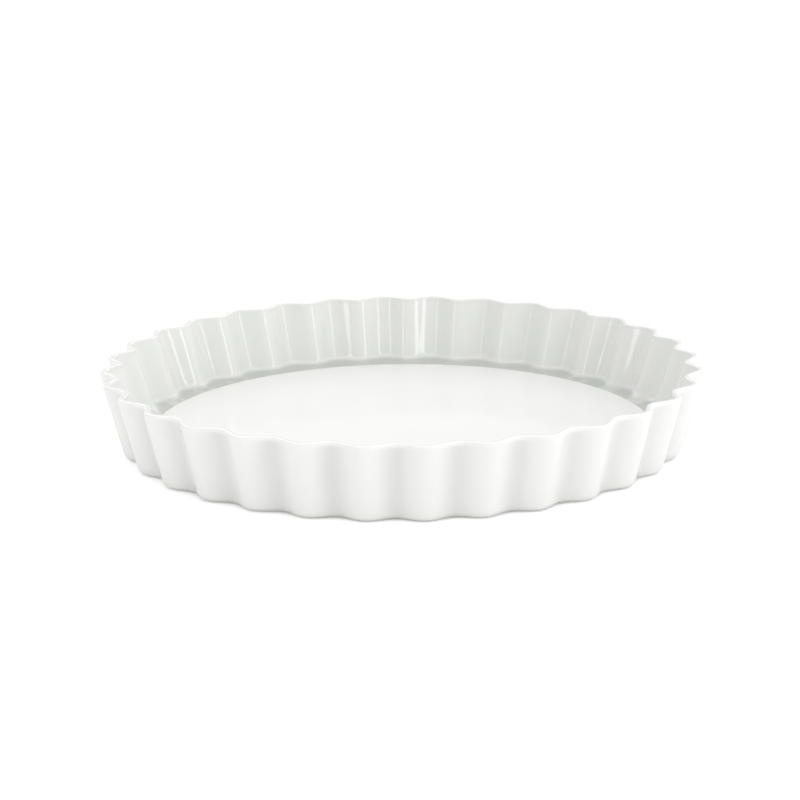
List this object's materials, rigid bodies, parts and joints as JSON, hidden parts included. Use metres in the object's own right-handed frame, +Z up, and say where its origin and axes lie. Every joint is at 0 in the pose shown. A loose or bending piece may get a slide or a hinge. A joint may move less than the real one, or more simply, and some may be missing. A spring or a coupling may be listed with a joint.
{
  "type": "fluted quiche dish",
  "caption": "Round, shallow white porcelain baking dish with a fluted, flaring wall, a flat floor and a bare foot ring under a glazed base.",
  "frame": {"origin": "middle of the foot ring, on the surface that the dish stands on", "axes": "+Z up, along the dish's axis; lobes of the fluted wall lie on the X and Y axes"},
  "size_m": [0.28, 0.28, 0.036],
  "materials": {
    "biscuit": "fired white porcelain without glaze, matt and ground smooth on the foot ring",
    "glaze": "glossy white glaze, fired onto the porcelain, softly uneven over the flutes"
  },
  "bodies": {
    "root": {"porcelain_body": "biscuit", "glaze_coat": "glaze", "base_glaze": "glaze"}
  },
  "joints": []
}
